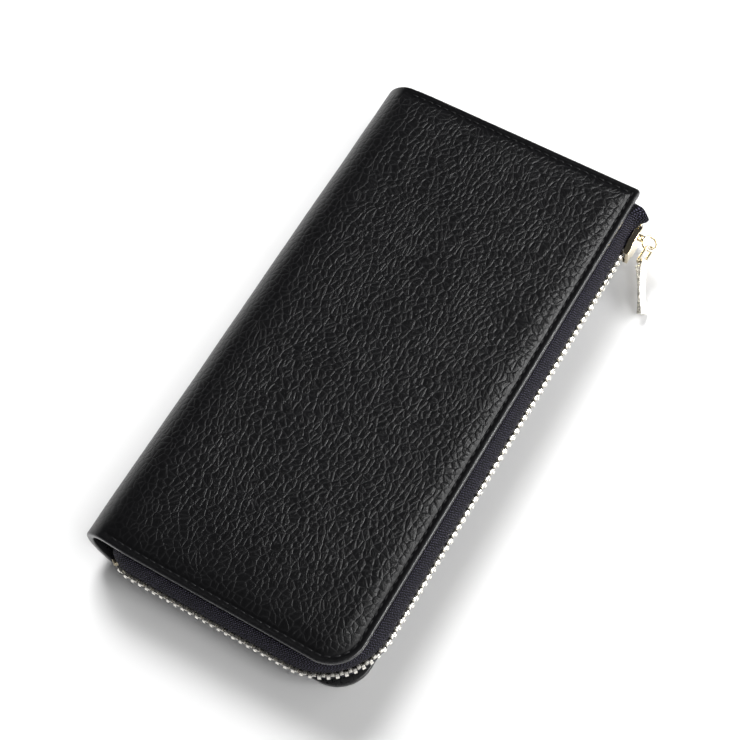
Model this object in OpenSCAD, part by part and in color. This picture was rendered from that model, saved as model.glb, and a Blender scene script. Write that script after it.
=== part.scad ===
// Long wallet with an L-shaped zip: a leather cover folded round a spine, an inner
// zipped coin pocket, stepped card rows and a metal zip round one long and one short side.
// The wallet lies on its back cover: X across (spine at -X), Y along (closed end at +Y), Z up.
// The origin is the middle of the back cover's outer face.

/* [Wallet] */
// Length of the leather, closed end to zipped end
length = 192; // [184:1:204]
// Width of the leather, outside of the spine to the zip-side edge
width = 98; // [94:1:106]
// Thickness of the closed wallet, cover to cover
thickness = 26; // [26:0.5:30]
// Radius of the leather corner that the zip runs round
corner_r = 12; // [8:1:16]

/* [Covers] */
// Thickness of a finished cover, leather and lining together
cover_t = 2.4; // [2.2:0.1:2.8]
// Thickness of the outer leather alone
leather_t = 1; // [0.8:0.1:1.2]
// Thickness of the stiffening board under the leather
board_t = 0.6; // [0.4:0.1:0.7]
// Width of the leather turned in round a cover's edge
turn_w = 5; // [4:0.5:6]
// Distance of the stitched groove from the cover's edge
stitch_inset = 1.8; // [1.4:0.1:2.4]
// Width of the stitched groove
groove_w = 0.6; // [0.5:0.1:0.8]
// Depth of the stitched groove
groove_d = 0.3; // [0.2:0.05:0.4]

/* [Main zip] */
// How far the teeth stand out beyond the leather's edge
zip_proud = 3.8; // [3.4:0.1:4.4]
// Outer radius of the zip at the rounded corner
zip_corner_r = 24; // [22:1:28]
// Outer radius of the zip where it turns in towards the spine
zip_end_r = 13; // [13:0.5:15]
// Distance from one tooth to the next in a row
tooth_pitch = 2.7; // [2.5:0.1:3.2]
// Thickness of a tooth across the tape
tooth_t = 3; // [2.6:0.1:3]
// Thickness of the woven tape
tape_t = 0.8; // [0.6:0.1:0.8]

/* [Card rows and coin pocket] */
// Number of card rows on each cover
card_rows = 4; // [4:1:4]
// Step from one card row's edge to the next
card_step = 11; // [9:1:12]
// Thickness of one card row's leather
card_t = 0.6; // [0.5:0.1:0.6]
// Clear height inside the coin pocket
coin_gap = 4.8; // [4.8:0.1:5.4]
// Depth of the coin pocket from its zip to its floor
coin_depth = 57; // [50:1:60]

/* [Zip pull] */
// Length of the pull bar below its link
pull_l = 18; // [14:1:18]
// Width of the pull bar
pull_w = 4.4; // [3.6:0.2:4.4]

/* [Hidden] */

$fn = 96;
eps = 0.01;
leather = [0.07, 0.07, 0.075];
inner_leather = [0.10, 0.10, 0.11];
board = [0.45, 0.38, 0.30];
cloth = [0.13, 0.13, 0.16];
tape = [0.09, 0.09, 0.13];
gold = [0.86, 0.76, 0.56];
thread = [0.05, 0.05, 0.05];

half_l = length / 2;
edge_x = width / 2;                  // the leather's edge on the zip side
mid = thickness / 2;                 // the plane where the two zip rows meet
flat_x = mid - edge_x;               // where the flat covers end and the spine begins
fold_gap = 0.3;                      // clearance between a cover and the spine
tooth_w = tooth_pitch / 2 - 0.15;    // width of a tooth along the tape
row_gap = 0.5;                       // from the middle plane to a row of teeth
row_top = 2.3;                       // from the middle plane to the back of a tooth
chain_s = zip_proud - tooth_t / 2;   // middle of the chain, out from the leather's edge
corner_x = edge_x + zip_proud - zip_corner_r;
corner_y = zip_corner_r - zip_proud - half_l;
turn_x = flat_x + 6;                 // where the zip starts to turn in to the spine
turn_y = zip_end_r - zip_proud - half_l;
turn_angle = 40;
slider_y = half_l - 13;              // middle of the slider with the zip closed
slider_l = 12;
first_tooth_y = slider_y - slider_l / 2 - 1;
tape_end_y = half_l - 0.5;
tape_sewn = 4;                       // width of tape that is sewn flat behind the leather's edge

// Covers -----------------------------------------------------------------------------

// Outline of a cover, drawn in by inset on its three stitched sides
module cover_outline(inset = 0, left = 0) {
  r = corner_r - inset;
  x0 = flat_x + left;
  x1 = edge_x - inset;
  y1 = half_l - inset;
  difference() {
    translate([x0, -y1]) square([x1 - x0, 2 * y1]);
    translate([x1 - r, -y1 - eps]) square([r + eps, r + eps]);
  }
  translate([x1 - r, r - y1]) circle(r);
}

// The line of the groove that the stitches lie in
module stitch_line(inset, w) {
  difference() {
    cover_outline(inset, 2);
    cover_outline(inset + w, 1);
  }
}

module cover() {
  color(leather) difference() {
    linear_extrude(cover_t) cover_outline();
    translate([0, 0, leather_t]) linear_extrude(cover_t) cover_outline(turn_w, -1);
    translate([0, 0, -eps]) linear_extrude(groove_d + eps) stitch_line(stitch_inset, groove_w);
  }
}

module stitching() {
  play = 0.05;
  color(thread) translate([0, 0, 0.05]) linear_extrude(groove_d - 0.05)
    stitch_line(stitch_inset + play, groove_w - 2 * play);
}

module stiffener() {
  color(board) translate([0, 0, leather_t]) linear_extrude(board_t) cover_outline(turn_w + 0.2, 1);
}

module lining() {
  z0 = leather_t + board_t;
  color(cloth) translate([0, 0, z0]) linear_extrude(cover_t - z0) cover_outline(turn_w + 0.1, 0.1);
}

// Row 1 lies on the lining, and each further row lies on the last and ends a step short of it
module card_row(k) {
  x0 = flat_x + 3;
  x1 = edge_x - 10 - card_step * (k - 1);
  half_y = half_l - 8;
  color(inner_leather) translate([x0, -half_y, cover_t + card_t * (k - 1)])
    cube([x1 - x0, 2 * half_y, card_t]);
}

// The front half of the wallet is the back half turned over
module front_half() {
  translate([0, 0, thickness]) mirror([0, 0, 1]) children();
}

// Spine ------------------------------------------------------------------------------

// Half a tube along Y, with the covers' ends fold_gap away
module spine_shell(r_in, r_out, half_y) {
  translate([flat_x, half_y, mid]) rotate([90, 0, 0]) linear_extrude(2 * half_y) difference() {
    circle(r_out);
    circle(r_in);
    translate([-fold_gap, -r_out - 1]) square([r_out + 2, 2 * r_out + 2]);
  }
}

module spine_cover() {
  color(leather) spine_shell(mid - cover_t + 0.8, mid, half_l - 2);
}

module spine_lining() {
  color(cloth) spine_shell(mid - cover_t, mid - cover_t + 0.8, half_l - 4);
}

// Main zip ---------------------------------------------------------------------------

// Sweeps a profile along the zip. The profile's X is out from the leather's edge, its Y is height
module along_zip(y_start) {
  translate([edge_x, y_start, 0]) rotate([90, 0, 0])
    linear_extrude(y_start - corner_y) children();
  translate([corner_x, corner_y, 0]) rotate([0, 0, -90]) rotate_extrude(angle = 90)
    translate([zip_corner_r - zip_proud, 0]) children();
  translate([corner_x, -half_l, 0]) rotate([0, 0, -90]) rotate([90, 0, 0])
    linear_extrude(corner_x - turn_x) children();
  translate([turn_x, turn_y, 0]) rotate([0, 0, -90 - turn_angle]) rotate_extrude(angle = turn_angle)
    translate([zip_end_r - zip_proud, 0]) children();
}

// Half the tape in section: sewn flat under the cover, then sloping out, then upright at the teeth
module tape_profile() {
  z0 = cover_t;
  z1 = mid - 5.2;
  z2 = mid - row_top;
  s1 = chain_s - tape_t / 2;
  polygon([
    [-tape_sewn, z0], [0, z0], [s1 + tape_t, z1], [s1 + tape_t, z2],
    [s1, z2], [s1, z1 + 0.2], [-0.4, z0 + tape_t], [-tape_sewn, z0 + tape_t]
  ]);
}

module zip_tape() {
  end_r = 3.5;
  x_round = edge_x + chain_s + tape_t / 2 - end_r;
  color(tape) difference() {
    along_zip(tape_end_y) tape_profile();
    translate([x_round, tape_end_y - end_r, 0]) difference() {
      cube([end_r + 1, end_r + 1, mid]);
      cylinder(r = end_r, h = 3 * mid, center = true);
    }
  }
}

// Place and facing at a distance along the middle of the chain, from the first tooth on:
// [x, y, angle of the outward direction]
run_1 = first_tooth_y - corner_y;
arc_1 = (zip_corner_r - tooth_t / 2) * PI / 2;
run_2 = corner_x - turn_x;
arc_2 = (zip_end_r - tooth_t / 2) * PI * turn_angle / 180;
chain_l = run_1 + arc_1 + run_2 + arc_2;

function on_arc(cx, cy, r, a) = [cx + r * cos(a), cy + r * sin(a), a];
function on_chain(u) =
  u < run_1 ? [edge_x + chain_s, first_tooth_y - u, 0]
  : u < run_1 + arc_1 ? on_arc(corner_x, corner_y, zip_corner_r - tooth_t / 2, -90 * (u - run_1) / arc_1)
  : u < run_1 + arc_1 + run_2 ? [corner_x - (u - run_1 - arc_1), -half_l - chain_s, -90]
  : on_arc(turn_x, turn_y, zip_end_r - tooth_t / 2,
           -90 - turn_angle * (u - run_1 - arc_1 - run_2) / arc_2);

module at_chain(u) {
  p = on_chain(u);
  translate([p[0], p[1], 0]) rotate([0, 0, p[2]]) children();
}

// A block on the back half's row, centred on the chain
module row_block(l, z_low, z_high) {
  translate([-tooth_t / 2, -l / 2, z_low]) cube([tooth_t, l, z_high - z_low]);
}

module zip_teeth(shift) {
  color(gold) for (u = [shift : tooth_pitch : chain_l - 3])
    at_chain(u) row_block(tooth_w, mid - row_top, mid - row_gap);
}

module top_stop() {
  color(gold) translate([edge_x + chain_s, slider_y + slider_l / 2 + 1.5, 0])
    row_block(2, mid - row_top, mid - row_gap);
}

module zip_end_stop() {
  color(gold) at_chain(chain_l - 1) row_block(1.8, mid - row_top, mid + 0.1);
}

// Gussets ----------------------------------------------------------------------------

// Both ends' folded leaves of thin cloth, lying flat at height z
module gusset_leaves(z, x_end, y_in, y_out) {
  color(cloth) for (side = [-1, 1])
    translate([flat_x + 4, side > 0 ? y_in : -y_out, z]) cube([x_end - flat_x - 4, y_out - y_in, 0.4]);
}

gusset_in = half_l - 22;
gusset_out = half_l - 7;
wall_t = 0.8;
coin_z0 = mid - coin_gap / 2 - wall_t;

// Coin pocket ------------------------------------------------------------------------

coin_x0 = flat_x + 3;
coin_x1 = coin_x0 + coin_depth;
coin_half_y = half_l - 16;
coin_tape_t = 0.4;
coin_row_t = 2;
coin_chain_x = coin_x1 + 2;          // middle of the coin zip's chain
coin_row_gap = 0.4;
coin_row_top = 1.6;
coin_pitch = 2.2;
coin_slider_y = coin_half_y - 10;
coin_slider_l = 8;

module coin_wall() {
  color(inner_leather) translate([coin_x0, -coin_half_y, coin_z0])
    cube([coin_depth, 2 * coin_half_y, wall_t]);
}

// A bound seam that closes the pocket's floor and its two ends
module coin_binding() {
  color(cloth) translate([coin_x0, -coin_half_y, coin_z0 + wall_t]) difference() {
    cube([coin_depth, 2 * coin_half_y, coin_gap]);
    translate([wall_t, wall_t, -1]) cube([coin_depth, 2 * (coin_half_y - wall_t), coin_gap + 2]);
  }
}

module mirrored_pair() {
  for (side = [0, 1])
    translate([0, 0, mid]) mirror([0, 0, side]) translate([0, 0, -mid]) children();
}

module coin_zip_tapes() {
  half_y = coin_half_y - wall_t - 0.2;
  lip_x = coin_chain_x - coin_tape_t / 2;
  color(tape) mirrored_pair() {
    translate([coin_x1 - 6, -half_y, mid - coin_gap / 2]) cube([lip_x - coin_x1 + 6, 2 * half_y, coin_tape_t]);
    translate([lip_x, -half_y, mid - coin_gap / 2])
      cube([coin_tape_t, 2 * half_y, coin_gap / 2 - coin_row_top]);
  }
}

module coin_zip_teeth() {
  first_y = coin_slider_y - coin_slider_l / 2 - 1;
  last_y = 4 - coin_half_y;
  color(gold) for (side = [0, 1])
    translate([0, 0, mid]) mirror([0, 0, side])
      for (y = [first_y - side * coin_pitch / 2 : -coin_pitch : last_y])
        translate([coin_chain_x - coin_row_t / 2, y - 0.45, coin_row_gap])
          cube([coin_row_t, 0.9, coin_row_top - coin_row_gap]);
}

// Sliders and pulls ------------------------------------------------------------------

slider_half_w = 4.8;
plate_t = 1.1;
flange_w = 1.5;
slot_half = 0.8;                     // half of the gap that the tape passes through
plate_in = edge_x - 0.7;             // inner face of the slider's inner plate
plate_out = edge_x + zip_proud + 1.5;
loop_r = 2.5;
loop_wire = 0.5;
loop_lean = 20;                      // how far the loop leans down from level
lug_tip = [plate_out + 1.4, slider_y + 3.2, mid + 0.4];
loop_middle = lug_tip + loop_r * [cos(loop_lean), 0, -sin(loop_lean)];

// Extrudes an outline drawn with its X along the zip and its Y upwards, from x0 to x1
module across_chain(x0, x1) {
  translate([x0, 0, 0]) rotate([90, 0, 90]) linear_extrude(x1 - x0) children();
}

// Half outline of a plate: a narrow mouth, then shoulders at the divider
shoulder = [[-6, 3.1], [-4.2, 3.1], [-1.8, slider_half_w], [3.6, slider_half_w], [5.2, 4.2], [6, 3]];

module slider_plate() {
  polygon(concat(shoulder, [for (i = [len(shoulder) - 1 : -1 : 0]) [shoulder[i][0], -shoulder[i][1]]]));
}

// Side wall that follows the plate's edge from the mouth to the shoulder
module slider_flange() {
  inner = slider_half_w - flange_w;
  polygon([[-6, 2.5], [-6, 3.1], [-4.2, 3.1], [-1.8, slider_half_w], [3.6, slider_half_w], [3.6, inner],
           [-1.2, inner], [-3.6, 2.5]]);
}

// Two plates with turned-in flanges along their sides, and a thin post between the rows
module slider_body() {
  chain_x = edge_x + chain_s;
  color(gold) translate([0, slider_y, mid]) {
    across_chain(plate_in, plate_in + plate_t) slider_plate();
    across_chain(plate_out - plate_t, plate_out) slider_plate();
    for (side = [0, 1]) mirror([0, 0, side]) {
      across_chain(plate_in, chain_x - slot_half) slider_flange();
      across_chain(chain_x + slot_half, plate_out) slider_flange();
    }
    translate([plate_in + 0.5, slider_l / 2 - 3, -0.25])
      cube([plate_out - plate_in - 1, 2.4, 0.5]);
  }
}

// Loop that the link hangs in, on a lug that stands on the outer plate
module slider_bridge() {
  color(gold) {
    translate(loop_middle) rotate([0, loop_lean, 0]) rotate_extrude()
      translate([loop_r, 0]) circle(loop_wire, $fn = 32);
    translate([plate_out, lug_tip[1] - 0.9, lug_tip[2] - 0.8]) cube([lug_tip[0] - plate_out + 0.2, 1.8, 1.6]);
  }
}

// The pull droops from the loop: hang is the way it points, and pin is along its two pivots
function unit(v) = v / norm(v);
hang = unit([0.452, -0.811, -0.371]);
pin_side = unit(cross([-0.294, -0.584, 0.757], hang));
pin = cross(hang, pin_side);
link_wire = 0.5;
link_half_w = 2.5;
link_l = 5.6;
link_corner = 1;
link_lean = 38;                      // the link hangs this much nearer the wallet than the bar
link_pivot = loop_middle + [0.7, -1.05, -0.25];
bar_pivot = link_pivot + link_l * (cos(link_lean) * hang - sin(link_lean) * pin_side);

// Children's X along pin, Y along hang, with the origin on a pivot
module on_pull(p) {
  multmatrix([
    [pin[0], hang[0], pin_side[0], p[0]],
    [pin[1], hang[1], pin_side[1], p[1]],
    [pin[2], hang[2], pin_side[2], p[2]],
    [0, 0, 0, 1]
  ]) children();
}

module wire(l) {
  rotate([0, 90, 0]) cylinder(r = link_wire, h = l, center = true, $fn = 32);
}

// Rounded rectangle of wire that hangs from the loop
module pull_link() {
  straight = 2 * (link_half_w - link_corner);
  color(gold) on_pull(link_pivot) rotate([-link_lean, 0, 0]) {
    wire(straight);
    translate([0, link_l, 0]) wire(straight);
    for (side = [-1, 1]) {
      translate([side * link_half_w, link_l / 2, 0]) rotate([0, 0, 90]) wire(link_l - 2 * link_corner);
      for (end = [0, 1])
        translate([side * straight / 2, end ? link_l - link_corner : link_corner, 0])
          rotate([0, 0, end ? (side > 0 ? 0 : 90) : (side > 0 ? -90 : 180)])
            rotate_extrude(angle = 90) translate([link_corner, 0]) circle(link_wire, $fn = 32);
    }
  }
}

// Half the pull bar's thickness at a share t of its length: waisted in the middle, flared at the end
function bar_half(t) = 0.45 + 0.6 * pow(abs(2 * t - 1.1), 2);

// The eye turns on the link's lower wire, and the bar widens below the link
module pull_bar() {
  eye_r = 1.25;
  top = eye_r + link_wire;
  steps = 12;
  side_points = [for (i = [0 : steps]) [top + (pull_l - top) * i / steps, bar_half(i / steps)]];
  other_side = [for (i = [steps : -1 : 0]) [side_points[i][0], -side_points[i][1]]];
  color(gold) on_pull(bar_pivot) {
    difference() {
      union() {
        rotate([0, 90, 0]) cylinder(r = eye_r, h = 2.6, center = true);
        translate([-1.3, 0, -0.8]) cube([2.6, top + 0.6, 1.6]);
      }
      rotate([0, 90, 0]) cylinder(r = link_wire + 0.1, h = 4, center = true);
    }
    rotate([0, 0, 90]) rotate([90, 0, 0]) translate([0, 0, -pull_w / 2])
      linear_extrude(pull_w) polygon(concat(side_points, other_side));
  }
}

// Small slider on the coin pocket's zip: a plate each side of the chain, and an arch for its tab
module coin_slider_body() {
  top_x = coin_chain_x + coin_row_t / 2 + 0.3;
  low_x = coin_chain_x - coin_row_t / 2 - 1.1;
  l = coin_slider_l;
  color(gold) translate([0, coin_slider_y, mid]) {
    translate([top_x, -l / 2, -2.6]) cube([1, l, 5.2]);
    translate([low_x, -l / 2, -1.4]) cube([0.8, l, 2.8]);
    translate([low_x, l / 2 - 2, -0.2]) cube([top_x - low_x + 0.5, 1.6, 0.4]);
    difference() {
      translate([top_x + 1, -2.6, -0.7]) cube([2.2, 5.2, 1.4]);
      translate([top_x + 0.9, -1.7, -1]) cube([1.4, 3.4, 2]);
    }
  }
}

// Flat tab with a round-wire eye through the arch, lying along the zip
module coin_pull_tab() {
  pivot_x = coin_chain_x + coin_row_t / 2 + 2;
  color(gold) translate([pivot_x, coin_slider_y, mid]) {
    translate([0, -0.6, 0]) cylinder(r = 0.45, h = 2.9, center = true, $fn = 32);
    for (side = [-1, 1]) {
      translate([-0.45, -4.6, side > 0 ? 1.1 : -1.9]) cube([0.9, 4.45, 0.8]);
    }
    translate([-0.45, -11, -1.9]) cube([0.9, 6.6, 3.8]);
  }
}

// The whole wallet -------------------------------------------------------------------

cover();  // back_cover
stitching();  // back_stitching
stiffener();  // back_stiffener
lining();  // back_lining
for (k = [1 : card_rows]) {
  card_row(k);
  front_half() card_row(k);
}
gusset_leaves(cover_t + card_rows * card_t, edge_x - 12, gusset_in, gusset_out);  // back_gusset_leaves
zip_tape();  // back_zip_tape
zip_teeth(0);  // back_zip_teeth
top_stop();  // back_top_stop
zip_end_stop();
spine_cover();
spine_lining();
coin_wall();  // coin_back_wall
front_half() coin_wall();  // coin_front_wall
coin_binding();
coin_zip_tapes();
coin_zip_teeth();
gusset_leaves(coin_z0 - 0.4, coin_x1 + 6, gusset_in, gusset_out);  // middle_gusset_back_leaves
front_half() gusset_leaves(coin_z0 - 0.4, coin_x1 + 6, gusset_in, gusset_out);  // middle_gusset_front_leaves
front_half() cover();  // front_cover
front_half() stitching();  // front_stitching
front_half() stiffener();  // front_stiffener
front_half() lining();  // front_lining
front_half() gusset_leaves(cover_t + card_rows * card_t, edge_x - 12, gusset_in, gusset_out);  // front_gusset_leaves
front_half() zip_tape();  // front_zip_tape
front_half() zip_teeth(tooth_pitch / 2);  // front_zip_teeth
front_half() top_stop();  // front_top_stop
slider_body();
slider_bridge();
pull_link();
pull_bar();
coin_slider_body();
coin_pull_tab();
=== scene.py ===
"""Long wallet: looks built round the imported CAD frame.

Shapes are worked out in millimetres and stored in metres.
"""
import math

import bmesh
import bpy
import numpy as np
from mathutils import Euler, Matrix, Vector


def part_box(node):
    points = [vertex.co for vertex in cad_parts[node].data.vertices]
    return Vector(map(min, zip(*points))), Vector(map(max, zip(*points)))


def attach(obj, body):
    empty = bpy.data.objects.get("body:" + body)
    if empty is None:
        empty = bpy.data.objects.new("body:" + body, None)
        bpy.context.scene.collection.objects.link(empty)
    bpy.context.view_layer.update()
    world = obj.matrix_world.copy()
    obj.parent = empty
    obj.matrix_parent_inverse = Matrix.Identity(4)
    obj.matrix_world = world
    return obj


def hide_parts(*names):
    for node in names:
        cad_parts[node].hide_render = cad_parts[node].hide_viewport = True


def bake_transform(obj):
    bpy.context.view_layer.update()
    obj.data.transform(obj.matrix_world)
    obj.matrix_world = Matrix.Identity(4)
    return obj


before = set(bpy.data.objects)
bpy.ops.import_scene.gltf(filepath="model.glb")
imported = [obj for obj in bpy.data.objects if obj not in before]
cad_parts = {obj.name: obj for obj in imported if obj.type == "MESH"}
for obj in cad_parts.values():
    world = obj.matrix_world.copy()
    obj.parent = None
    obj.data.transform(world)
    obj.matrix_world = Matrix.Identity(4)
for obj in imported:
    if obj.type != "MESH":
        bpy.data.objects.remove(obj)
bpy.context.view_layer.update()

# ---- Sizes, in millimetres, from the frame ------------------------------------------------

MM = 0.001


def corners(node):
    """Lowest and highest corner of a CAD node, in millimetres."""
    low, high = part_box(node)
    return np.array(low) / MM, np.array(high) / MM


cover_low, cover_high = corners("back_cover")
thick = corners("front_cover")[1][2]
half_l = cover_high[1]
edge_x = cover_high[0]
flat_x = cover_low[0]                 # where the spine's curve meets the flat covers
cover_t = cover_high[2]
mid = thick / 2
spine_r = mid
teeth_low, teeth_high = corners("back_zip_teeth")
zip_proud = teeth_high[0] - edge_x    # how far the zip stands out beyond the leather
row_top = mid - teeth_low[2]          # from the middle plane to the back of a tooth
slider_low, slider_high = corners("slider_body")
tape_end_y = corners("front_zip_tape")[1][1]
coin_low, coin_high = corners("coin_back_wall")
card_t = corners("back_card_row_1")[1][2] - corners("back_card_row_1")[0][2]

corner_r = 12.0                       # leather corner that the zip runs round
square_r = 1.5                        # leather corner at the closed end
zip_corner_r = 24.0                   # outside of the zip at the rounded corner
zip_end_r = 13.0                      # outside of the zip where it turns in to the spine
zip_turn = math.radians(40)
tooth_pitch = 2.7
tooth_depth = 3.0

arc_p = math.pi / 2 * spine_r         # half of the spine's curve, measured along the leather
edge_p = arc_p + edge_x - flat_x      # from the middle of the spine to the zip-side edge


# ---- Numbers that repeat the same on every run --------------------------------------------

def smooth(a, b, x):
    t = np.clip((x - a) / (b - a), 0, 1)
    return t * t * (3 - 2 * t)


def lattice(ix, iy, seed):
    """A repeatable value from 0 to 1 for each whole-number cell."""
    v = np.sin(ix * 127.1 + iy * 311.7 + seed * 74.7) * 43758.5453
    return v - np.floor(v)


def noise(x, y, size, seed):
    """Smooth noise from -1 to 1, with bumps about size across."""
    fx, fy = np.floor(x / size), np.floor(y / size)
    tx, ty = x / size - fx, y / size - fy
    tx, ty = tx * tx * (3 - 2 * tx), ty * ty * (3 - 2 * ty)
    low = lattice(fx, fy, seed) * (1 - tx) + lattice(fx + 1, fy, seed) * tx
    high = lattice(fx, fy + 1, seed) * (1 - tx) + lattice(fx + 1, fy + 1, seed) * tx
    return (low * (1 - ty) + high * ty) * 2 - 1


cell_size = 2.2                       # pebbles of the leather's grain
fine_size = 0.95                      # smaller wrinkles between and across them
grain_depth = 0.21


def grain_place(p, q):
    """Places on the hide, pushed about so that the pebbles are irregular."""
    x = p + 0.6 * noise(p, q, 3.4, 3) + 1.5 * noise(p, q, 17, 5)
    y = q + 0.6 * noise(p, q, 3.4, 4) + 1.5 * noise(p, q, 17, 6)
    return x, y * 0.9


def edge_distance(x, y, size):
    """Distance to the nearest border of the cell texture that the leather material also reads."""
    mesh = bpy.data.meshes.new("cells")
    mesh.from_pydata(np.stack([x.ravel(), y.ravel(), np.zeros(x.size)], -1).tolist(), [], [])
    holder = bpy.data.objects.new("cells", mesh)
    bpy.context.scene.collection.objects.link(holder)
    tree = bpy.data.node_groups.new("cells", "GeometryNodeTree")
    tree.interface.new_socket("Geometry", in_out="INPUT", socket_type="NodeSocketGeometry")
    tree.interface.new_socket("Geometry", in_out="OUTPUT", socket_type="NodeSocketGeometry")
    start, end = tree.nodes.new("NodeGroupInput"), tree.nodes.new("NodeGroupOutput")
    cells = tree.nodes.new("ShaderNodeTexVoronoi")
    cells.voronoi_dimensions = "2D"
    cells.feature = "DISTANCE_TO_EDGE"
    cells.inputs["Scale"].default_value = 1 / size
    store = tree.nodes.new("GeometryNodeStoreNamedAttribute")
    store.inputs["Name"].default_value = "edge"
    position = tree.nodes.new("GeometryNodeInputPosition")
    tree.links.new(start.outputs[0], store.inputs["Geometry"])
    tree.links.new(position.outputs[0], cells.inputs["Vector"])
    tree.links.new(cells.outputs["Distance"], store.inputs["Value"])
    tree.links.new(store.outputs["Geometry"], end.inputs[0])
    holder.modifiers.new("cells", "NODES").node_group = tree
    baked = holder.evaluated_get(bpy.context.evaluated_depsgraph_get()).to_mesh()
    edge = np.empty(x.size, np.float32)
    baked.attributes["edge"].data.foreach_get("value", edge)
    bpy.data.objects.remove(holder)
    return edge.reshape(x.shape).astype(float)


def pebbles(x, y):
    """Pebble grain: 0 in the creases, rising to about 1 on the pebbles."""
    big = edge_distance(x, y, cell_size)
    small = edge_distance(x, y, fine_size)
    return 0.55 * (1 - np.exp(-big / 0.12)) + 0.6 * big + 0.15 * (1 - np.exp(-small / 0.12))


# ---- Materials ---------------------------------------------------------------------------

class Nodes:
    """Short names for the few node kinds that the materials use."""

    def __init__(self, name):
        self.material = bpy.data.materials.new(name)
        self.material.use_nodes = True
        self.tree = self.material.node_tree
        self.shader = self.tree.nodes["Principled BSDF"]

    def add(self, kind, **values):
        node = self.tree.nodes.new("ShaderNode" + kind)
        for key, value in values.items():
            setattr(node, key, value)
        return node

    def link(self, a, b):
        self.tree.links.new(a, b)

    def set(self, **values):
        for key, value in values.items():
            self.shader.inputs[key.replace("_", " ")].default_value = value

    def place(self, attribute=None):
        """Rest coordinates from a stored attribute, or the piece's own coordinates."""
        if attribute:
            return self.add("Attribute", attribute_name=attribute).outputs["Vector"]
        return self.add("TexCoord").outputs["Object"]

    def noise(self, place, scale, detail=4.0, rough=0.5):
        node = self.add("TexNoise")
        node.inputs["Scale"].default_value = scale
        node.inputs["Detail"].default_value = detail
        node.inputs["Roughness"].default_value = rough
        self.link(place, node.inputs["Vector"])
        return node.outputs["Fac"]

    def wrinkles(self, place, scale):
        """Distance to the borders of solid cells."""
        node = self.add("TexVoronoi", feature="DISTANCE_TO_EDGE")
        node.inputs["Scale"].default_value = scale
        self.link(place, node.inputs["Vector"])
        return node.outputs["Distance"]

    def crease(self, place, scale, width):
        """0 on the borders of flat cells, rising to 1 away from them."""
        node = self.add("TexVoronoi", feature="DISTANCE_TO_EDGE", voronoi_dimensions="2D")
        node.inputs["Scale"].default_value = scale
        self.link(place, node.inputs["Vector"])
        fall = self.math("EXPONENT", self.math("MULTIPLY", node.outputs["Distance"], -1 / width))
        return self.math("SUBTRACT", 1.0, fall)

    def math(self, operation, a, b=0.0, c=0.0):
        node = self.add("Math", operation=operation)
        for socket, value in zip(node.inputs, (a, b, c)):
            if isinstance(value, (int, float)):
                socket.default_value = value
            else:
                self.link(value, socket)
        return node.outputs[0]

    def ramp(self, value, low, high, out_low, out_high):
        node = self.add("MapRange")
        for key, number in zip(("From Min", "From Max", "To Min", "To Max"), (low, high, out_low, out_high)):
            node.inputs[key].default_value = number
        self.link(value, node.inputs["Value"])
        return node.outputs["Result"]

    def mix(self, value, a, b):
        node = self.add("Mix", data_type="RGBA")
        for socket, colour in ((node.inputs["A"], a), (node.inputs["B"], b)):
            if isinstance(colour, tuple):
                socket.default_value = (*colour, 1)
            else:
                self.link(colour, socket)
        self.link(value, node.inputs["Factor"])
        return node.outputs["Result"]

    def bump(self, height, distance, strength=1.0):
        node = self.add("Bump")
        node.inputs["Distance"].default_value = distance
        node.inputs["Strength"].default_value = strength
        self.link(height, node.inputs["Height"])
        self.link(node.outputs["Normal"], self.shader.inputs["Normal"])

    def drive(self, socket, name):
        self.link(socket, self.shader.inputs[name])


def grained_leather():
    """Outer leather: near-black, with creases and fine pores on top of the mesh's own grain, and a painted
    highlight along the creases.
    """
    n = Nodes("outer_leather")
    place = n.place("grain")
    hide = n.noise(place, 0.05, 3)
    pores = n.noise(place, 1.6, 5, 0.65)
    big = n.crease(place, 1 / cell_size, 0.08)
    small = n.crease(place, 1 / fine_size, 0.08)
    shade = n.math("MULTIPLY_ADD", pores, 0.5, n.math("MULTIPLY", hide, 0.5))
    calm = n.add("Attribute", attribute_name="calm").outputs["Fac"]
    hide_colour = n.mix(shade, (0.0014, 0.0014, 0.0017), (0.0036, 0.0036, 0.0041))
    # Painted highlight: the crease lines of the large pebbles get a lighter colour, scaled down where calm is
    # low.
    painted_crease_highlight = n.math("MULTIPLY", calm, n.math("SUBTRACT", 1.0, big))
    n.drive(n.mix(painted_crease_highlight, hide_colour, (0.011, 0.011, 0.012)), "Base Color")
    rough = n.math("MULTIPLY_ADD", big, -0.10, n.math("MULTIPLY_ADD", pores, 0.12, 0.40))
    n.drive(rough, "Roughness")
    raised = n.math("MULTIPLY_ADD", small, 0.28, n.math("MULTIPLY_ADD", pores, 0.22, big))
    n.bump(n.math("MULTIPLY", raised, calm), 0.0002, 1.0)
    n.set(Specular_IOR_Level=0.42)
    return n.material


def leather_material(name, dark, light, rough, wrinkle_scale, wrinkle_depth):
    """Dyed leather: colour and gloss vary over the hide, and fine wrinkles lie on the grain."""
    n = Nodes(name)
    place = n.place("rest")
    hide = n.noise(place, 45, 3)
    fine = n.noise(place, 900, 5, 0.6)
    shade = n.math("MULTIPLY_ADD", fine, 0.5, n.math("MULTIPLY", hide, 0.5))
    n.drive(n.mix(shade, dark, light), "Base Color")
    n.drive(n.ramp(n.math("ADD", fine, hide), 0.6, 1.4, *rough), "Roughness")
    wrinkles = n.math("MULTIPLY", n.wrinkles(place, wrinkle_scale), 1.2)
    n.bump(n.math("MULTIPLY_ADD", fine, 0.5, wrinkles), wrinkle_depth, 0.7)
    n.set(Specular_IOR_Level=0.5)
    return n.material


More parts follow.
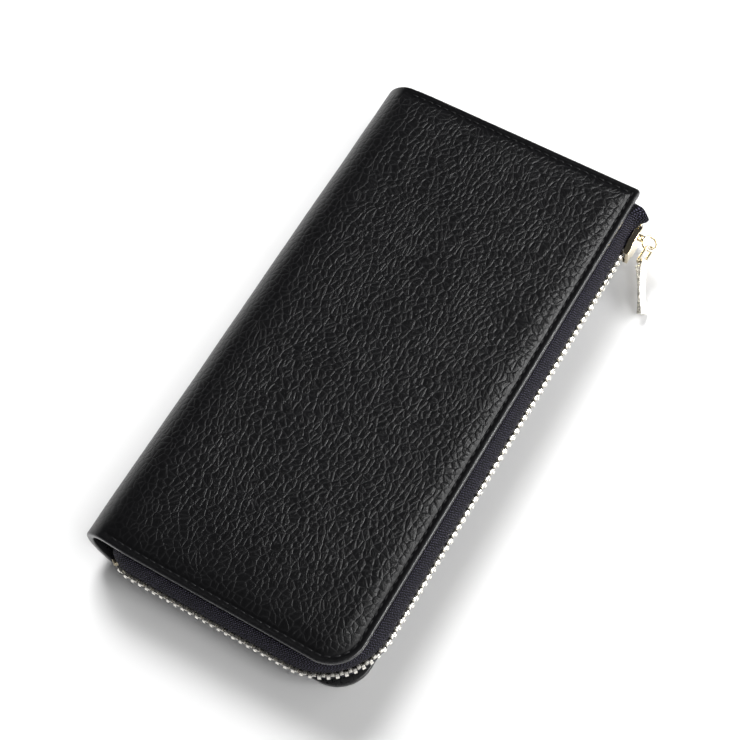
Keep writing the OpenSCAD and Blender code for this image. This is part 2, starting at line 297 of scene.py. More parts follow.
def tape_material():
    """Woven zip tape: ribs in a herringbone. The stored 'weave' is along and across the tape, in mm."""
    n = Nodes("zip_tape")
    split = n.add("SeparateXYZ")
    n.link(n.place("weave"), split.inputs[0])
    along, across = split.outputs[0], split.outputs[1]
    zigzag = n.math("PINGPONG", across, 1.1)
    rib = n.math("SINE", n.math("MULTIPLY", n.math("ADD", along, n.math("MULTIPLY", zigzag, 0.9)), 7.0))
    yarn = n.math("SINE", n.math("MULTIPLY", across, 9.0))
    fuzz = n.noise(n.place("weave"), 1.7, 5, 0.75)
    height = n.math("MULTIPLY_ADD", rib, 0.3, n.math("MULTIPLY_ADD", yarn, 0.15, fuzz))
    # Partly painted shade: the colour is darkest in the hollows of the weave and lightest on its ribs and
    # yarns, and the fuzz noise adds a random tone.
    shade = n.ramp(height, 0.66, 0.98, 0, 1)
    n.drive(n.mix(shade, (0.0004, 0.0003, 0.0014), (0.125, 0.115, 0.185)), "Base Color")
    n.drive(n.ramp(fuzz, 0.3, 0.7, 0.6, 0.85), "Roughness")
    n.bump(height, 0.0003, 1.0)
    n.set(Sheen_Weight=0.01, Sheen_Roughness=0.4, Specular_IOR_Level=0.12)
    return n.material


def cloth_material(name, dark, light, threads):
    """Plain-woven lining cloth."""
    n = Nodes(name)
    place = n.place("rest")
    split = n.add("SeparateXYZ")
    n.link(place, split.inputs[0])
    warp = n.math("SINE", n.math("MULTIPLY", n.math("ADD", split.outputs[0], split.outputs[2]), threads))
    weft = n.math("SINE", n.math("MULTIPLY", n.math("SUBTRACT", split.outputs[1], split.outputs[2]), threads))
    weave = n.math("MULTIPLY", warp, weft)
    fuzz = n.noise(place, 700, 3)
    n.drive(n.mix(n.math("MULTIPLY_ADD", weave, 0.2, fuzz), dark, light), "Base Color")
    n.drive(n.ramp(fuzz, 0.3, 0.7, 0.7, 0.9), "Roughness")
    n.bump(n.math("ADD", weave, fuzz), 0.00005, 0.6)
    n.set(Sheen_Weight=0.2)
    return n.material


def metal_material(name, colour, tint, rough):
    """Plated metal with fine brushing and small wear marks."""
    n = Nodes(name)
    place = n.place()
    cloud = n.noise(place, 260, 4)
    scratch = n.noise(place, 2600, 2, 0.7)
    n.drive(n.mix(cloud, colour, tint), "Base Color")
    n.drive(n.ramp(scratch, 0.3, 0.8, rough * 0.8, rough * 1.3), "Roughness")
    n.bump(scratch, 0.00001, 0.12)
    n.set(Metallic=1.0)
    return n.material


def board_material():
    """Pressed fibre board."""
    n = Nodes("stiffener_board")
    place = n.place()
    fibre = n.noise(place, 500, 6, 0.7)
    n.drive(n.mix(fibre, (0.25, 0.19, 0.13), (0.45, 0.37, 0.27)), "Base Color")
    n.drive(n.ramp(fibre, 0.3, 0.7, 0.8, 0.95), "Roughness")
    n.bump(fibre, 0.00005, 0.5)
    return n.material


def thread_material():
    """Twisted sewing thread."""
    n = Nodes("stitch_thread")
    place = n.place("rest")
    twist = n.noise(place, 2400, 3)
    n.drive(n.mix(twist, (0.003, 0.003, 0.004), (0.010, 0.010, 0.011)), "Base Color")
    n.drive(n.ramp(twist, 0.3, 0.7, 0.45, 0.7), "Roughness")
    n.bump(twist, 0.00006, 0.6)
    return n.material


outer_leather = grained_leather()
inner_leather = leather_material("inner_leather", (0.010, 0.010, 0.011), (0.020, 0.020, 0.022),
                                 (0.42, 0.58), 1200, 0.00006)
edge_leather = leather_material("edge_leather", (0.012, 0.012, 0.013), (0.022, 0.022, 0.024),
                                (0.22, 0.34), 1400, 0.00003)
tape_cloth = tape_material()
lining_cloth = cloth_material("lining_cloth", (0.010, 0.010, 0.014), (0.030, 0.030, 0.040), 9000)
gold = metal_material("gold_metal", (0.72, 0.62, 0.42), (0.86, 0.78, 0.60), 0.15)
pale_gold = metal_material("pale_gold_metal", (0.82, 0.79, 0.72), (0.93, 0.91, 0.86), 0.26)
board = board_material()
thread = thread_material()


# ---- Making pieces -------------------------------------------------------------------------

def make(name, points, faces, materials, sharp=None):
    """A mesh piece from points in millimetres, which keeps its rest coordinates for the materials."""
    mesh = bpy.data.meshes.new(name)
    mesh.from_pydata((np.asarray(points) * MM).tolist(), [], [tuple(map(int, f)) for f in faces])
    rest = mesh.attributes.new("rest", "FLOAT_VECTOR", "POINT")
    rest.data.foreach_set("vector", (np.asarray(points) * MM).astype(np.float32).ravel())
    for m in materials if isinstance(materials, (list, tuple)) else [materials]:
        mesh.materials.append(m)
    mesh.shade_smooth()
    if sharp is not None:
        mesh.set_sharp_from_angle(angle=math.radians(sharp))
    piece = bpy.data.objects.new(name, mesh)
    bpy.context.scene.collection.objects.link(piece)
    return piece


def grid_faces(rows, columns, first=0, closed=False, flip=False):
    """Quads over a grid of points stored row by row. closed joins the last column to the first."""
    wide = columns if closed else columns - 1
    i, j = np.meshgrid(np.arange(rows - 1), np.arange(wide), indexing="ij")
    i, j = i.ravel(), j.ravel()
    k = (j + 1) % columns
    here, above = first + i * columns, first + (i + 1) * columns
    quads = np.stack([here + j, here + k, above + k, above + j], 1)
    return quads[:, ::-1] if flip else quads


def ring_of(rows, columns):
    """Indices of a grid's outer points, going once round it."""
    return np.concatenate([np.arange(columns), np.arange(1, rows) * columns + columns - 1,
                           (rows - 1) * columns + np.arange(columns - 2, -1, -1),
                           np.arange(rows - 2, 0, -1) * columns])


def tell(piece, nodes=()):
    if nodes:
        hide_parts(*nodes)
    return piece


def store_weave(piece, along, across):
    data = np.stack([along.ravel(), across.ravel(), np.zeros(along.size)], 1)
    weave = piece.data.attributes.new("weave", "FLOAT_VECTOR", "POINT")
    weave.data.foreach_set("vector", data.astype(np.float32).ravel())


def bend_with(piece, side):
    """Bakes the piece's placement into its mesh, the same way for the front cover (+1) and the back cover
    (-1).
    """
    if side > 0:
        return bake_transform(piece)
    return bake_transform(piece)


# ---- Outer leather ------------------------------------------------------------------------
# The leather is one sheet round the spine. p runs across it from the middle of the spine,
# q runs along it, and side is +1 on the front cover and -1 on the back.

stitch_d = 2.2                        # the stitched groove's distance from the edge
stitch_pitch = 3.0
stitch_l, stitch_r = 2.35, 0.24       # length and radius of one stitch
stitch_sink = 0.3                     # the stitches' middles lie this far below the pressed edge
stitch_from = 15.0                    # the groove begins this far from the middle of the spine
edge_round = 0.6
edge_low = -0.4                       # the pressed edge lies below the soft middle
crown = 0.5                           # and the soft middle stands above the CAD cover
dip_closed, dip_zip = 0.7, 1.2        # how far the leather draws in at the spine's two ends


def on_sheet(p, q, side, height):
    """Point on the sheet at p, q, at a height above the CAD cover's outer face."""
    a = np.minimum(p, arc_p) / spine_r
    r = spine_r + height
    x = flat_x - r * np.cos(a) + np.maximum(p - arc_p, 0)
    return np.stack([x, q, mid + side * r * np.sin(a)], -1)


def sheet_normal(p, side):
    a = np.minimum(p, arc_p) / spine_r
    return np.stack([-np.cos(a), np.zeros_like(a), side * np.sin(a)], -1)


def drawn_in(p, q):
    """The sheet is a little shorter round the spine than on the covers."""
    near = 1 - smooth(0, arc_p + 8, p)
    dip = np.where(q > 0, dip_closed, dip_zip) * near
    return q * (1 - dip / half_l)


def round_corner(p, q, r, end):
    """Bends square grid lines concentrically round a cover's corner. end is +1 at the closed end."""
    a = 1 - (edge_p - p) / r
    b = 1 - (half_l - end * q) / r
    m = np.maximum(a, b)
    inside = (a > 0) & (b > 0)
    safe = np.where(m > 0, m, 1)
    turn = np.where(a >= b, 45 * b / safe, 90 - 45 * a / safe)
    turn = np.radians(turn)
    new_p = edge_p - r + r * m * np.cos(turn)
    new_q = end * (half_l - r + r * m * np.sin(turn))
    return np.where(inside, new_p, p), np.where(inside, new_q, q)


def cover_height(p, q, d):
    """Height of the leather at a distance d from its edge, without the grain."""
    middle = crown * (0.4 + 0.6 * smooth(arc_p * 0.35, arc_p + 4, p))
    border = smooth(arc_p * 0.7, stitch_from + 4, p) * (1 - smooth(2.8, 8.5, d))
    body = middle + (edge_low - middle) * border
    bead = 0.2 * np.exp(-((d - 0.9) / 0.6) ** 2)
    groove = -0.42 * np.exp(-((d - stitch_d - 0.25) / 0.6) ** 2)
    stitched = smooth(stitch_from, stitch_from + 2, p)
    wave = 0.16 * noise(p, q, 34, 21) + 0.08 * noise(p, q, 15, 22)
    return body + (bead + groove) * stitched + wave * smooth(3, 14, d)


def calmness(p, q, d):
    """How full the grain is. It is pressed flat in the stitched border, stretched round the spine
    and worn at the zipped end."""
    # calm also scales the painted highlight along the creases of the outer leather.
    border = 0.12 + 0.88 * smooth(2.7, 4.6, d)
    spine = 0.3 + 0.7 * smooth(arc_p * 0.5, arc_p + 12, p)
    zipped_end = 0.4 + 0.6 * smooth(4, 36, half_l + q)
    return border * spine * zipped_end


def lines(low, high, step, fine_low, fine_high):
    """Grid lines from low to high, set close together beside a stitched edge."""
    edge_steps = np.array([0, 0.3, 0.6, 0.85, 1.1, 1.27, 1.4, 1.5, 1.6, 1.75, 1.95, 2.2, 2.55, 2.95])
    start = low + edge_steps if fine_low else np.array([low])
    end = (high - edge_steps)[::-1] if fine_high else np.array([high])
    n = int(round((end[0] - start[-1]) / step))
    return np.concatenate([start, np.linspace(start[-1], end[0], n + 1)[1:-1], end])


def leather(side):
    """One half of the outer leather: a grained face, a rounded edge and the part turned in behind it."""
    step = 0.47
    inset = edge_round
    p_lines = lines(0, edge_p - inset, step, False, True)
    q_lines = lines(-half_l + inset, half_l - inset, step, True, True)
    grid_q, grid_p = np.meshgrid(q_lines, p_lines, indexing="ij")
    d = np.minimum(edge_p - grid_p, half_l - np.abs(grid_q))
    p, q = round_corner(grid_p, grid_q, corner_r, -1)
    p, q = round_corner(p, q, square_r, 1)
    q = drawn_in(p, q)
    grain_x, grain_y = grain_place(p * side, q)
    calm = calmness(p, q, d)
    height = cover_height(p, q, d) + grain_depth * (pebbles(grain_x, grain_y) - 0.7) * calm
    face = on_sheet(p, q, side, height)
    rows, columns = p.shape
    # the edge of the face, from the spine along the closed end, the zip side and the zipped end
    top = [(rows - 1, j) for j in range(columns)]
    right = [(i, columns - 1) for i in range(rows - 2, -1, -1)]
    bottom = [(0, j) for j in range(columns - 2, -1, -1)]
    rim = np.array(top + right + bottom)
    rim_p, rim_q = p[rim[:, 0], rim[:, 1]], q[rim[:, 0], rim[:, 1]]
    along_p, along_q = np.gradient(rim_p), np.gradient(rim_q)
    length = np.hypot(along_p, along_q)
    out_p, out_q = -along_q / length, along_p / length
    out_p[0] = out_p[-1] = 0
    out_q[0], out_q[-1] = 1, -1
    normal = sheet_normal(rim_p, side)
    across = np.stack([side * normal[:, 2], np.zeros(len(rim)), -side * normal[:, 0]], -1)
    outward = across * out_p[:, None] + np.array([0, 1, 0]) * out_q[:, None]
    start = face[rim[:, 0], rim[:, 1]]
    depth = (cover_t + height[rim[:, 0], rim[:, 1]])[:, None]
    steps = [(edge_round * math.sin(t), edge_round * (1 - math.cos(t))) for t in np.radians([22, 45, 68, 90])]
    steps += [(edge_round, depth * f) for f in (0.5, 0.75)]
    steps += [(edge_round - 0.15, depth - 0.08)]
    steps += [(edge_round - turned_in, depth) for turned_in in (0.4, 2.5, 5.6)]
    strip = [start + outward * a - normal * b for a, b in steps]
    points = np.concatenate([face.reshape(-1, 3)] + strip)
    base = rows * columns
    faces = [grid_faces(rows, columns, flip=side < 0)]
    first = rim[:, 0] * columns + rim[:, 1]
    rings = [first] + [base + k * len(rim) + np.arange(len(rim)) for k in range(len(steps))]
    for above, below in zip(rings, rings[1:]):
        quads = np.stack([above[:-1], above[1:], below[1:], below[:-1]], 1)
        faces.append(quads[:, ::-1] if side < 0 else quads)
    piece = make("leather_front" if side > 0 else "leather_back", points, np.concatenate(faces),
                 [outer_leather, edge_leather])
    grain = np.zeros((len(points), 3), np.float32)
    grain[:, 0] = np.concatenate([grain_x.ravel()] + [grain_x[rim[:, 0], rim[:, 1]]] * len(steps))
    grain[:, 1] = np.concatenate([grain_y.ravel()] + [grain_y[rim[:, 0], rim[:, 1]]] * len(steps))
    piece.data.attributes.new("grain", "FLOAT_VECTOR", "POINT").data.foreach_set("vector", grain.ravel())
    full = np.concatenate([calm.ravel(), np.full(len(steps) * len(rim), 0.2)]).astype(np.float32)
    piece.data.attributes.new("calm", "FLOAT", "POINT").data.foreach_set("value", full)
    slots = np.zeros(len(piece.data.polygons), np.int32)
    slots[(rows - 1) * (columns - 1) + (len(rim) - 1):] = 1
    piece.data.polygons.foreach_set("material_index", slots)
    bend_with(piece, side)
    nodes = ["front_cover", "spine_cover"] if side > 0 else ["back_cover"]
    return tell(piece, nodes)


def capsule(centre, direction, lift, length, radius, sides=8):
    """A stitch: a short rounded thread whose ends dip into the leather."""
    rings = []
    sideways = np.cross(direction, lift)
    for t in np.linspace(-1, 1, 9):
        r = radius * math.sqrt(max(0.0, 1 - abs(t) ** 5)) + 0.01
        c = centre + direction * (t * length / 2) - lift * (0.22 * t * t)
        a = np.arange(sides) * 2 * math.pi / sides
        rings.append(c + r * (np.cos(a)[:, None] * sideways + np.sin(a)[:, None] * lift))
    return np.concatenate(rings), grid_faces(9, sides, closed=True)


def edge_route(inset, step):
    """Points at a distance inside a cover's edge: p, q and the direction, from spine to spine."""
    r = corner_r - inset
    top = np.linspace(stitch_from, edge_p - inset, 400)
    right = np.linspace(half_l - inset, -half_l + corner_r, 800)
    turn = np.linspace(0, math.pi / 2, 80)
    bottom = np.linspace(edge_p - corner_r, stitch_from, 400)
    p = np.concatenate([top, np.full(right.size, edge_p - inset),
                        edge_p - corner_r + r * np.cos(turn), bottom])
    q = np.concatenate([np.full(top.size, half_l - inset), right, -half_l + corner_r - r * np.sin(turn),
                        np.full(bottom.size, -half_l + inset)])
    run = np.concatenate([[0], np.cumsum(np.hypot(np.diff(p), np.diff(q)))])
    places = np.arange(step / 2, run[-1], step)
    at_p, at_q = np.interp(places, run, p), np.interp(places, run, q)
    ahead_p, ahead_q = np.interp(places + 0.05, run, p), np.interp(places + 0.05, run, q)
    return at_p, at_q, ahead_p - at_p, ahead_q - at_q


def stitches(side):
    """Separate stitches lying in the groove round a cover."""
    points, faces, count = [], [], 0
    for p, q, dp, dq in zip(*edge_route(stitch_d, stitch_pitch)):
        here = on_sheet(p, drawn_in(p, q), side, edge_low - stitch_sink)
        there = on_sheet(p + dp, drawn_in(p + dp, q + dq), side, edge_low - stitch_sink)
        direction = (there - here) / np.linalg.norm(there - here)
        v, f = capsule(here, direction, sheet_normal(np.float64(p), side), stitch_l, stitch_r)
        points.append(v)
        faces.append(f + count)
        count += len(v)
    name = "stitches_front" if side > 0 else "stitches_back"
    piece = make(name, np.concatenate(points), np.concatenate(faces), thread)
    bend_with(piece, side)
    return tell(piece, ["front_stitching" if side > 0 else "back_stitching"])


def lining(side):
    """Cloth lining behind one cover and half of the spine."""
    inset, lining_t = 4.0, 0.35
    depth = cover_t + 0.05
    p_lines = np.concatenate([np.linspace(0, arc_p + 6, 16), np.linspace(arc_p + 10, edge_p - inset, 30)])
    q_lines = np.linspace(-half_l + inset, half_l - inset, 60)
    grid_q, grid_p = np.meshgrid(q_lines, p_lines, indexing="ij")
    r = corner_r - inset
    a, b = 1 - (edge_p - inset - grid_p) / r, 1 - (half_l - inset + grid_q) / r
    m = np.maximum(a, b)
    turn = np.radians(np.where(a >= b, 45 * b / np.where(m > 0, m, 1), 90 - 45 * a / np.where(m > 0, m, 1)))
    inside = (a > 0) & (b > 0)
    p = np.where(inside, edge_p - inset - r + r * m * np.cos(turn), grid_p)
    q = np.where(inside, -(half_l - inset - r + r * m * np.sin(turn)), grid_q)
    q = drawn_in(p, q)
    upper = on_sheet(p, q, side, -depth + 0.03 * noise(p, q, 9, 31)).reshape(-1, 3)
    lower = on_sheet(p, q, side, -depth - lining_t + 0.05 * noise(p, q, 9, 32)).reshape(-1, 3)
    rows, columns = p.shape
    n = rows * columns
    faces = [grid_faces(rows, columns, flip=side < 0), grid_faces(rows, columns, first=n, flip=side > 0)]
    rim = ring_of(rows, columns)
    nxt = np.roll(rim, -1)
    wall = np.stack([rim, nxt, nxt + n, rim + n], 1)
    faces.append(wall[:, ::-1] if side > 0 else wall)
    name = "lining_front" if side > 0 else "lining_back"
    piece = make(name, np.concatenate([upper, lower]), np.concatenate(faces), lining_cloth, sharp=50)
    bend_with(piece, side)
    nodes = ["front_lining", "spine_lining"] if side > 0 else ["back_lining"]
    return tell(piece, nodes)


# ---- Main zip -----------------------------------------------------------------------------

chain_s = zip_proud - tooth_depth / 2
corner_x = edge_x + zip_proud - zip_corner_r
corner_y = zip_corner_r - zip_proud - half_l
turn_x = flat_x + 6
turn_y = zip_end_r - zip_proud - half_l
tape_t = 0.6
tape_stop = tape_end_y - 3.4          # where the tape's free end is cut
tape_drop = mid - cover_t - row_top   # from behind the leather down to the teeth


def zip_route(y_start, step):
    """Along the leather's edge line: its points, the outward directions and the distance run."""
    r1, r2 = zip_corner_r - zip_proud, zip_end_r - zip_proud
    stretches = [
        (y_start - corner_y, lambda t: (edge_x, y_start - t * (y_start - corner_y), 0.0)),
        (r1 * math.pi / 2, lambda t: (corner_x + r1 * math.cos(t * math.pi / 2),
                                      corner_y - r1 * math.sin(t * math.pi / 2), -t * math.pi / 2)),
        (corner_x - turn_x, lambda t: (corner_x - t * (corner_x - turn_x), -half_l, -math.pi / 2)),
        (r2 * zip_turn, lambda t: (turn_x - r2 * math.sin(t * zip_turn),
                                   turn_y - r2 * math.cos(t * zip_turn), -math.pi / 2 - t * zip_turn)),
    ]
    points = []
    for k, (length, at) in enumerate(stretches):
        n = max(2, int(round(length / step)))
        points += [at(i / n) for i in range(0 if k == 0 else 1, n + 1)]
    route = np.array(points)
    run = np.concatenate([[0], np.cumsum(np.hypot(np.diff(route[:, 0]), np.diff(route[:, 1])))])
    return route, run


def sweep(route, s, z):
    """Grid of points: profile point (s out from the edge line, z) at each place of the route."""
    out = np.stack([np.cos(route[:, 2]), np.sin(route[:, 2])], -1)
    xy = route[:, None, :2] + out[:, None, :] * s[None, :, None]
    return np.concatenate([xy, np.broadcast_to(z[None, :, None], xy.shape[:2] + (1,))], -1)


def tape_profile(side):
    """Half of the tape in section, from under the cover down to the teeth, outer face then inner."""
    t = np.linspace(0, 1, 26)
    knots_t = np.array([0, 0.22, 0.36, 0.62, 0.82, 1])
    knots_s = np.array([-6, -1.4, 0.2, 1.55, chain_s, chain_s])
    knots_h = np.array([0.35, 0.45, 1.5, 5.2, 8.3, 11.1])
    s = np.interp(t, knots_t, knots_s)
    h = np.interp(t, knots_t, knots_h)
    for _ in range(3):
        s[1:-1] = (s[:-2] + 2 * s[1:-1] + s[2:]) / 4
        h[1:-1] = (h[:-2] + 2 * h[1:-1] + h[2:]) / 4
    h = h * (tape_drop + 0.25) / h[-1]
    ds, dh = np.gradient(s), np.gradient(h)
    length = np.hypot(ds, dh)
    ns, nh = dh / length, -ds / length
    outer_s, outer_h = s + ns * tape_t / 2, h + nh * tape_t / 2
    inner_s, inner_h = s - ns * tape_t / 2, h - nh * tape_t / 2
    loop_s = np.concatenate([outer_s, inner_s[::-1]])
    loop_h = np.concatenate([outer_h, inner_h[::-1]])
    return loop_s, mid + side * (mid - cover_t - loop_h)


def zip_tape(side):
    """Woven half tape. Its free end beyond the slider stands out in a rounded flap."""
    route, run = zip_route(tape_stop, 0.6)
    s, z = tape_profile(side)
    points = sweep(route, s, z)
    width = np.concatenate([[0], np.cumsum(np.hypot(np.diff(s), np.diff(z)))])
    loose = smooth(slider_high[1] - 2, tape_stop, points[:, :, 1]) * (points[:, :, 0] > edge_x)
    drop = np.clip((mid - cover_t - side * (points[:, :, 2] - mid)) / tape_drop, 0, 1)
    flare = loose * (1.0 if side > 0 else 0.25)
    points[:, :, 0] += flare * (0.5 * (points[:, :, 0] - edge_x) + 3.0 * np.sin(math.pi * drop ** 0.8))
    points[:, :, 1] -= 1.2 * flare * smooth(2.5, 6, points[:, :, 0] - edge_x)
    rows, columns = points.shape[:2]
    faces = grid_faces(rows, columns, closed=True, flip=side > 0)
    caps = [list(range(columns)), list(range((rows - 1) * columns, rows * columns))[::-1]]
    if side < 0:
        caps = [c[::-1] for c in caps]
    piece = make("tape_front" if side > 0 else "tape_back", points.reshape(-1, 3),
                 list(faces.tolist()) + caps, tape_cloth, sharp=50)
    along = np.broadcast_to(run[:, None], (rows, columns))
    across = np.broadcast_to(width[None, :], (rows, columns))
    store_weave(piece, along, across)
    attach(piece, "front" if side > 0 else "back")
    return tell(piece, ["front_zip_tape" if side > 0 else "back_zip_tape"])


def tooth_shape():
    """One metal tooth of the upper row: legs that clamp the tape's edge, a waist and a locking head.
    X is out from the tape, Y along it, Z up from the middle plane."""
    section = [(-1.4, 1.9), (-1.5, 1.1), (-1.2, 0.7), (-1.1, -0.35), (-0.7, -0.6),
               (0.7, -0.6), (1.1, -0.35), (1.2, 0.7), (1.5, 1.1), (1.4, 1.9), (0.9, 2.2), (-0.9, 2.2)]
    half_w = 0.56
    bm = bmesh.new()
    ends = [[bm.verts.new((x, y, z)) for x, z in section] for y in (-half_w, half_w)]
    bm.faces.new(ends[0])
    bm.faces.new(ends[1][::-1])
    for i in range(len(section)):
        j = (i + 1) % len(section)
        bm.faces.new((ends[0][j], ends[0][i], ends[1][i], ends[1][j]))
    bmesh.ops.bevel(bm, geom=list(bm.edges), offset=0.16, segments=2, affect="EDGES", profile=0.7)
    bmesh.ops.recalc_face_normals(bm, faces=bm.faces)
    points = np.array([v.co for v in bm.verts])
    faces = [[v.index for v in f.verts] for f in bm.faces]
    bm.free()
    return points, faces


def chain_places(first_y, shift, stop):
    """Where the teeth sit on the chain: points and outward angles, a pitch apart."""
    route, _ = zip_route(first_y, 0.2)
    x = route[:, 0] + chain_s * np.cos(route[:, 2])
    y = route[:, 1] + chain_s * np.sin(route[:, 2])
    run = np.concatenate([[0], np.cumsum(np.hypot(np.diff(x), np.diff(y)))])
    at = np.arange(shift, run[-1] - stop, tooth_pitch)
    return np.interp(at, run, x), np.interp(at, run, y), np.interp(at, run, route[:, 2])


def copies(shape, places, side):
    """Copies of a shape at places on the chain, upright for the front row and turned over for the back."""
    v, f = shape
    points, faces = [], []
    for k, (x, y, a) in enumerate(zip(*places)):
        c, s = math.cos(a), math.sin(a)
        points.append(np.stack([x + v[:, 0] * c - v[:, 1] * s, y + v[:, 0] * s + v[:, 1] * c,
                                mid + side * v[:, 2]], -1))
        faces += [[i + k * len(v) for i in (face if side > 0 else face[::-1])] for face in f]
    return np.concatenate(points), faces


def zip_teeth(side):
    first_y = (slider_low[1] + slider_high[1]) / 2 + 2.2
    shift = tooth_pitch / 2 if side > 0 else 0
    points, faces = copies(tooth_shape(), chain_places(first_y, shift, 3), side)
    piece = make("teeth_front" if side > 0 else "teeth_back", points, faces, pale_gold, sharp=35)
    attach(piece, "front" if side > 0 else "back")
    return tell(piece, ["front_zip_teeth" if side > 0 else "back_zip_teeth"])


# ---- Inside -------------------------------------------------------------------------------

def slab(name, low, high, body, node, edge, wave):
    """A flat leather layer with rounded edges and a slight wave."""
    step = 4.0
    xs = np.linspace(low[0], high[0], max(3, int((high[0] - low[0]) / step)))
    ys = np.linspace(low[1], high[1], max(3, int((high[1] - low[1]) / step)))
    gx, gy = np.meshgrid(xs, ys, indexing="ij")
    lift = wave * noise(gx, gy, 22, 41 + low[2])
    rim = np.minimum(np.minimum(gx - low[0], high[0] - gx), np.minimum(gy - low[1], high[1] - gy))
    lift = lift * smooth(0, 12, rim)
    top = np.stack([gx, gy, high[2] + lift], -1).reshape(-1, 3)
    base = np.stack([gx, gy, low[2] + lift], -1).reshape(-1, 3)
    rows, columns = gx.shape
    n = rows * columns
    border = ring_of(rows, columns)
    nxt = np.roll(border, -1)
    faces = [grid_faces(rows, columns, flip=True), grid_faces(rows, columns, first=n),
             np.stack([border, nxt, nxt + n, border + n], 1)]
    piece = make(name, np.concatenate([top, base]), np.concatenate(faces), inner_leather)
    bevel = piece.modifiers.new("round", "BEVEL")
    bevel.width = edge * MM
    bevel.segments = 3
    bevel.limit_method = "ANGLE"
    bevel.angle_limit = math.radians(50)
    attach(piece, body)
    return tell(piece, [node])


def card_rows():
    for body in ("back", "front"):
        for k in range(1, 5):
            node = f"{body}_card_row_{k}"
            low, high = corners(node)
            slab(f"card_leather_{body}_{k}", low, high, body, node, edge=0.22, wave=0.08)


def coin_pocket():
    for which in ("back", "front"):
        node = f"coin_{which}_wall"
        low, high = corners(node)
        slab(f"coin_wall_{which}", low, high, "middle", node, edge=0.3, wave=0.0)


gusset_t = 0.3


def gusset(side, end):
    """A folded cloth leaf from a cover to the end of the coin pocket, with its fold turned inwards."""
    z_cover = cover_t + 4 * card_t + 0.25
    z_pocket = coin_low[2] - 0.25
    x0, x_cover, x_pocket = flat_x + 2.5, edge_x - 12, coin_high[0] - 0.5
    y_cover, y_pocket, fold = half_l - 5, coin_high[1] - 0.6, 12
    over, along = 25, 30                  # points over the fold, and away from the spine
    t = np.linspace(-1, 1, over)
    depth = np.sqrt(np.clip(1 - np.abs(t) ** 1.3, 0, 1))
    y = y_cover + (y_pocket - y_cover) * (t + 1) / 2 - fold * depth
    z = z_cover + (z_pocket - z_cover) * (t + 1) / 2
    gu, gt = np.meshgrid(np.linspace(0, 1, along), np.arange(over), indexing="ij")
    x_far = x_cover + (x_pocket - x_cover) * (t[gt] + 1) / 2
    x = x0 + (x_far - x0) * gu
    gy = y[gt] + 0.4 * noise(x, gt * 1.0, 17, 51) * depth[gt]
    gz = z[gt]
    points = np.stack([x, end * gy, gz if side < 0 else thick - gz], -1)
    piece = make(f"gusset_{'front' if side > 0 else 'back'}_{'closed' if end > 0 else 'zipped'}",
                 points.reshape(-1, 3), grid_faces(along, over), lining_cloth)
    solid = piece.modifiers.new("cloth", "SOLIDIFY")
    solid.thickness = gusset_t * MM
    solid.offset = 0
    if side < 0:
        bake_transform(piece)
    else:
        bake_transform(piece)
    return tell(piece)


def carried(node, material, bevel=0.0):
    """A CAD node that stays, with its edges softened and its own material."""
    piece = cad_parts[node]
    piece.data.materials.clear()
    piece.data.materials.append(material)
    weld = piece.modifiers.new("weld", "WELD")
    weld.merge_threshold = 0.000002
    if bevel:
        soft = piece.modifiers.new("soft_edges", "BEVEL")
        soft.width = bevel * MM
        soft.segments = 3
        soft.limit_method = "ANGLE"
        soft.angle_limit = math.radians(40)
    smooth_by = piece.modifiers.new("normals", "WEIGHTED_NORMAL")
    smooth_by.keep_sharp = True
    piece.data.shade_smooth()
    return piece


# ---- Stage --------------------------------------------------------------------------------

floor_reach = 6.0
camera_place = (0.16523, -0.20644, 0.54743)
camera_down = 63.659                  # degrees that it looks below level
camera_turn = 38.772                  # degrees about the upright
camera_roll = -8.990                  # degrees about its own axis
camera_lens = 88.19


def light(name, place, aim, size, power, glossy):
    """A soft box that shows only as a shine on surfaces, or only lights them evenly."""
    data = bpy.data.lights.new(name, "AREA")
    data.shape = "RECTANGLE"
    data.size, data.size_y = size
    data.energy = power
    lamp = bpy.data.objects.new(name, data)
    lamp.location = place
    lamp.rotation_euler = (Vector(aim) - Vector(place)).to_track_quat("-Z", "Y").to_euler()
    lamp.visible_glossy = glossy
    lamp.visible_diffuse = not glossy
    bpy.context.scene.collection.objects.link(lamp)


def floor():
    """Pale, slightly mottled floor."""
    n = Nodes("floor")
    mottle = n.noise(n.place(), 30, 3)
    n.drive(n.mix(mottle, (0.80, 0.80, 0.80), (0.82, 0.82, 0.82)), "Base Color")
    n.set(Roughness=0.7)
    mesh = bpy.data.meshes.new("floor")
    r = floor_reach
    mesh.from_pydata([(-r, -r, 0), (r, -r, 0), (r, r, 0), (-r, r, 0)], [], [(0, 1, 2, 3)])
    mesh.materials.append(n.material)
    ground = bpy.data.objects.new("floor", mesh)
    bpy.context.scene.collection.objects.link(ground)


def studio_walls():
    """White surroundings: fully bright to the camera, dimmer on the spine's side for everything else."""
    world = bpy.data.worlds.new("studio")
    bpy.context.scene.world = world
    world.use_nodes = True
    tree = world.node_tree
    background = tree.nodes["Background"]
    background.inputs["Color"].default_value = (1, 1, 1, 1)
    place = tree.nodes.new("ShaderNodeTexCoord")
    split = tree.nodes.new("ShaderNodeSeparateXYZ")
    walls = tree.nodes.new("ShaderNodeMapRange")
    walls.interpolation_type = "SMOOTHSTEP"
    for key, number in (("From Min", -0.1), ("From Max", 0.9), ("To Min", 0.05), ("To Max", 0.55)):
        walls.inputs[key].default_value = number
    seen = tree.nodes.new("ShaderNodeLightPath")
    level = tree.nodes.new("ShaderNodeMapRange")
    level.inputs["To Max"].default_value = 1.0
    tree.links.new(place.outputs["Generated"], split.inputs[0])
    tree.links.new(split.outputs["X"], walls.inputs["Value"])
    tree.links.new(walls.outputs["Result"], level.inputs["To Min"])
    tree.links.new(seen.outputs["Is Camera Ray"], level.inputs["Value"])
    tree.links.new(level.outputs["Result"], background.inputs["Strength"])


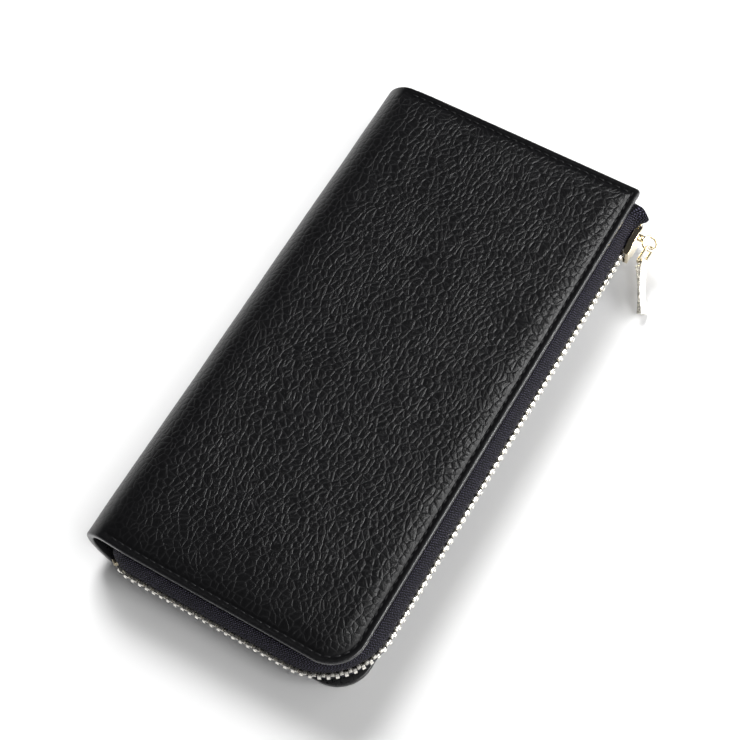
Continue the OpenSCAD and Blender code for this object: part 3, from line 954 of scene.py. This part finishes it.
def lights():
    """Three lamps that only light the wallet and floor, and two that only shine on them."""
    light("key", (-0.57, 0.64, 1.05), (0, 0, 0.01), (0.55, 0.55), 23.0, glossy=False)
    light("fill", (0.62, -0.12, 1.05), (0, 0, 0.01), (0.6, 0.6), 6.5, glossy=False)
    light("near", (0.15, 0.14, 0.09), (0.06, 0.09, 0), (0.06, 0.06), 0.09, glossy=False)
    light("side", (0.40, 0.34, 0.60), (0.04, 0.03, 0.01), (0.22, 0.32), 3.2, glossy=True)
    light("rim", (0.95, 0.10, 0.28), (0.05, 0, 0.02), (0.9, 0.16), 13.0, glossy=True)


def view():
    """The camera, above the zip side and the zipped end, turned and rolled to look down along the wallet."""
    camera_data = bpy.data.cameras.new("camera")
    camera_data.lens = camera_lens
    camera_data.sensor_width = 36
    camera = bpy.data.objects.new("camera", camera_data)
    camera.location = camera_place
    turn = Euler((math.radians(90 - camera_down), 0, math.radians(camera_turn))).to_matrix()
    roll = Euler((0, 0, math.radians(camera_roll))).to_matrix()
    camera.rotation_euler = (turn @ roll).to_euler()
    bpy.context.scene.collection.objects.link(camera)
    bpy.context.scene.camera = camera
    bpy.context.scene.view_settings.view_transform = "Standard"


# ---- The wallet ---------------------------------------------------------------------------

floor()
studio_walls()
lights()
view()
for cover_side in (1, -1):
    leather(cover_side)
    stitches(cover_side)
    lining(cover_side)
    zip_tape(cover_side)
    zip_teeth(cover_side)
    for short_end in (1, -1):
        gusset(cover_side, short_end)
card_rows()
coin_pocket()
for gusset_node, stand_in in (("back_gusset_leaves", "gusset_back_closed"),
                              ("front_gusset_leaves", "gusset_front_closed"),
                              ("middle_gusset_back_leaves", "gusset_back_zipped"),
                              ("middle_gusset_front_leaves", "gusset_front_zipped")):
    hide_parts(gusset_node)
for metal_node in ("slider_body", "slider_bridge", "pull_link", "pull_bar", "coin_slider_body",
                   "coin_pull_tab", "back_top_stop", "front_top_stop", "zip_end_stop", "coin_zip_teeth"):
    soften = 0.25 if metal_node in ("slider_body", "pull_bar", "coin_pull_tab", "zip_end_stop") else 0.0
    carried(metal_node, pale_gold if metal_node == "pull_bar" else gold, soften)
for board_node in ("front_stiffener", "back_stiffener"):
    carried(board_node, board)
carried("coin_zip_tapes", lining_cloth)
carried("coin_binding", lining_cloth)
